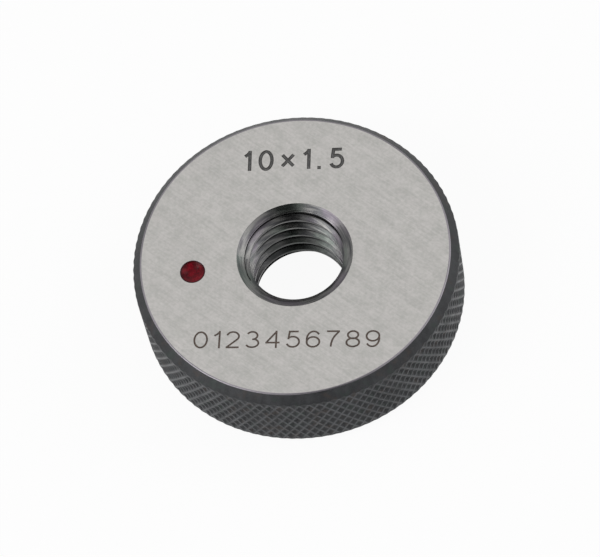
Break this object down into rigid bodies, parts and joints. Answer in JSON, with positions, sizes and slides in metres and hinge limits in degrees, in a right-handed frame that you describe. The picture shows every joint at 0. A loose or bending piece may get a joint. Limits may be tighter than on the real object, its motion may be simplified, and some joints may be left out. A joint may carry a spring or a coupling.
{
  "type": "thread ring gauge",
  "caption": "Solid steel ring gauge with a diamond-knurled rim, two ground faces and a countersunk threaded bore that checks an external screw thread.",
  "frame": {"origin": "centre of the unmarked face, which the ring rests on", "axes": "+Z along the bore's axis, out of the marked face; +X the way the markings read; +Y towards their tops"},
  "size_m": [0.032, 0.032, 0.009],
  "materials": {
    "gauge_steel": "hardened steel, faces ground bright with fine slanting scratches",
    "black_oxide": "blackened rim, chamfers and bore, satin",
    "red_paint": "glossy dark red paint in the drilled dimple"
  },
  "bodies": {
    "root": {"ring_gauge": "gauge_steel"}
  },
  "joints": []
}
